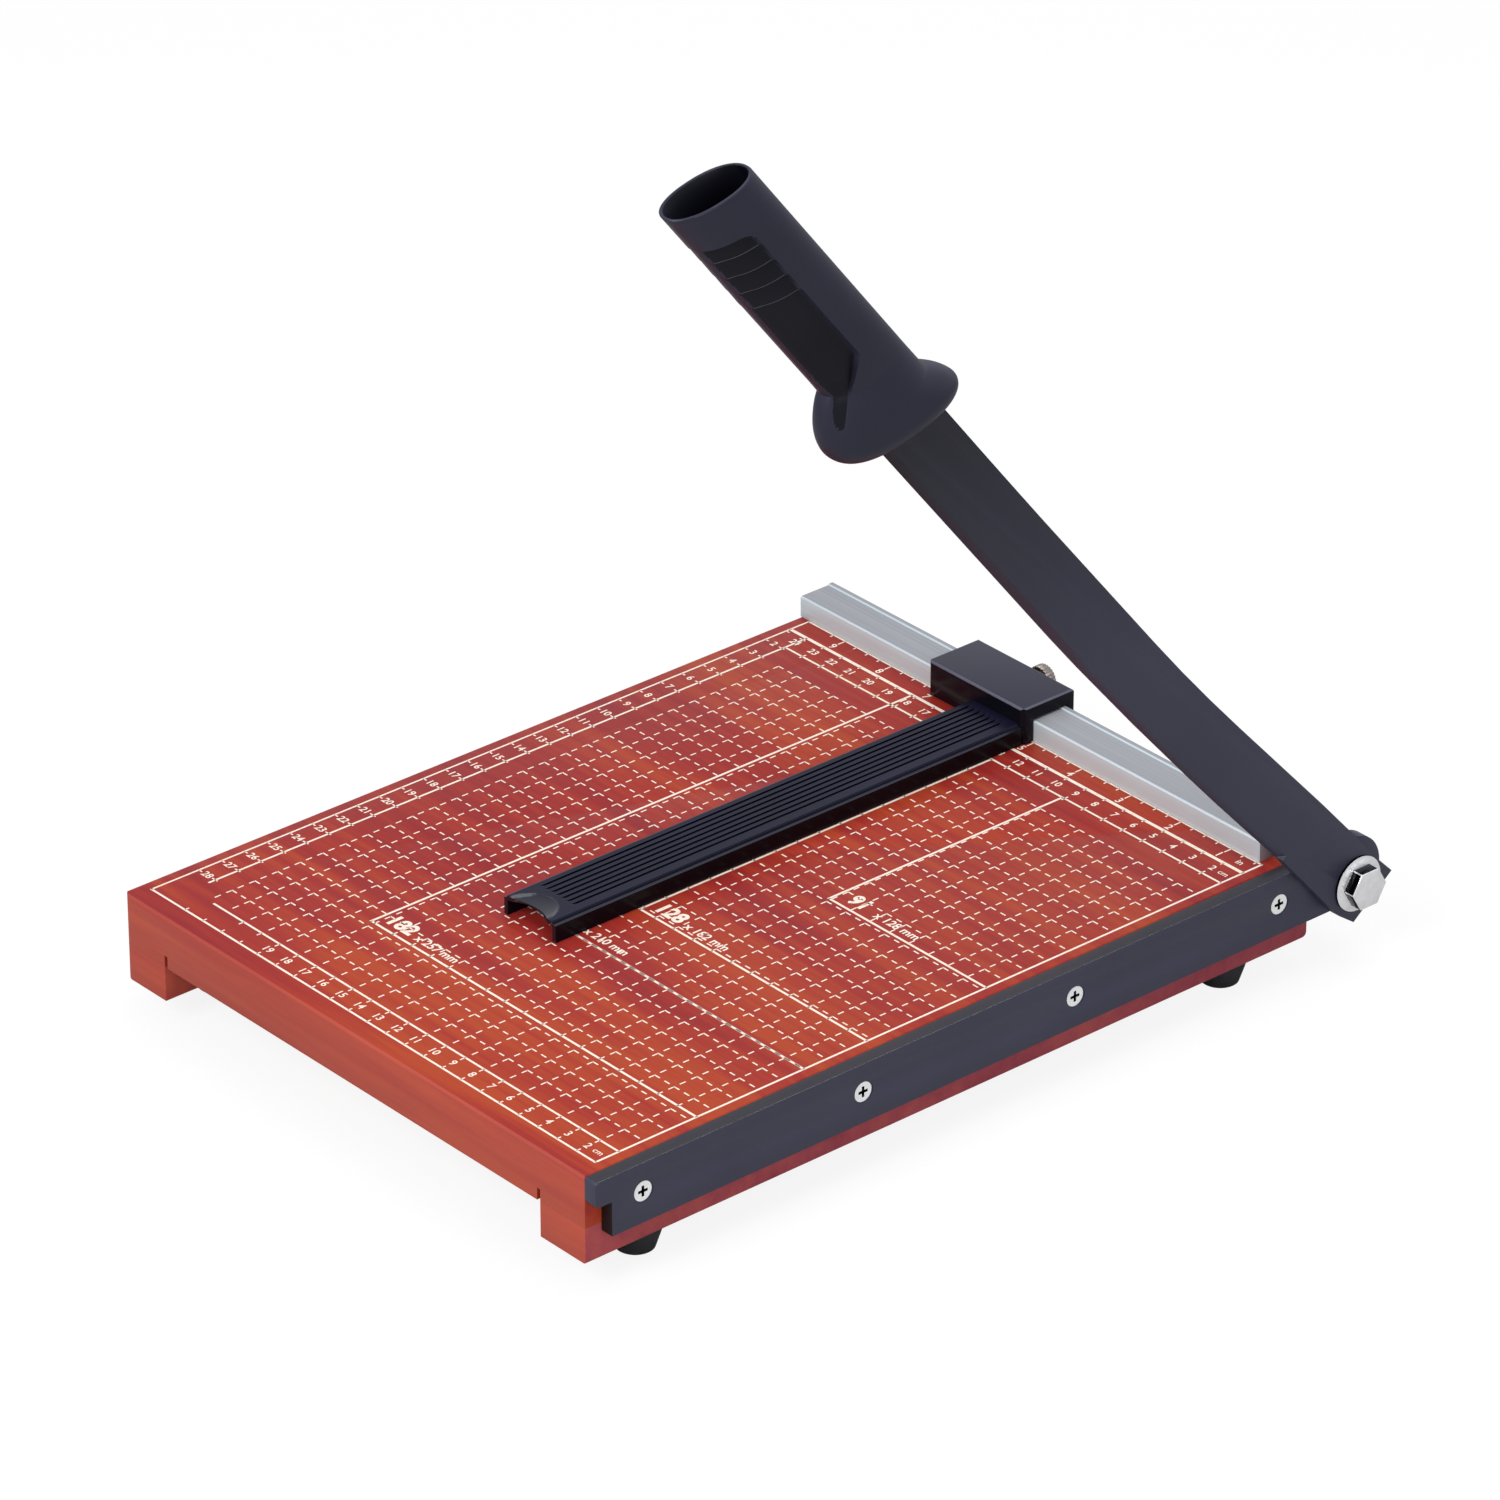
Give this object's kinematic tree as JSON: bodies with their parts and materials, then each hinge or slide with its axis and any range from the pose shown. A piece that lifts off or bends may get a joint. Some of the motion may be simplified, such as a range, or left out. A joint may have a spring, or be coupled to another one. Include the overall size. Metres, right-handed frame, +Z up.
{
  "type": "guillotine paper trimmer",
  "caption": "Lever paper trimmer: red wooden bed with printed grid, steel arm hinged at the rear corner, metal fence and sliding paper stop.",
  "frame": {"origin": "middle of the outline, arm raised as stored, on the plane the feet stand on", "axes": "+X to the cutting side, +Y away from the user towards the fence, +Z up"},
  "size_m": [0.2686, 0.3594, 0.3907],
  "materials": {
    "bed_wood": "red-stained, satin lacquer",
    "dark_steel": "dark satin coating",
    "fence_metal": "satin",
    "bright_steel": "bright plated",
    "zinc_steel": "zinc plated",
    "grip_plastic": "fine grain, satin",
    "slider_plastic": "satin",
    "foot_rubber": "matt",
    "insert_brass": "turned"
  },
  "bodies": {
    "base": {"base_panel": "bed_wood", "left_runner": "bed_wood", "right_runner": "bed_wood", "runner_screws": "zinc_steel", "bed_knife": "dark_steel", "knife_screws": "bright_steel", "fence_rail": "fence_metal", "fence_screws": "zinc_steel", "foot_front_left": "foot_rubber", "foot_front_right": "foot_rubber", "foot_rear_left": "foot_rubber", "foot_rear_right": "foot_rubber", "foot_washers": "zinc_steel", "foot_screws": "zinc_steel", "pivot_bolt": "bright_steel", "pivot_washers": "zinc_steel", "pivot_spring": "zinc_steel", "lock_nut": "zinc_steel"},
    "arm": {"blade_arm": "dark_steel", "handle_grip": "grip_plastic", "handle_screws": "zinc_steel"},
    "slider": {"slider_block": "slider_plastic", "paper_stop": "slider_plastic", "stop_screws": "zinc_steel", "lock_insert": "insert_brass"},
    "thumb_screw": {"lock_screw": "bright_steel"}
  },
  "joints": [
    {"name": "arm_hinge", "type": "hinge", "parent": "base", "child": "arm", "pos_m": [0.1221, 0.16262, 0.0316], "axis": [-1, 0, 0], "range_deg": [-48, 30]},
    {"name": "slider_travel", "type": "slide", "parent": "base", "child": "slider", "axis": [1, 0, 0], "range_m": [-0.075, 0.112]},
    {"name": "thumb_screw_turn", "type": "hinge", "parent": "slider", "child": "thumb_screw", "pos_m": [-0.03355, 0.15542, 0.04938], "axis": [0, 1, 0], "range_deg": [0, 540]}
  ]
}
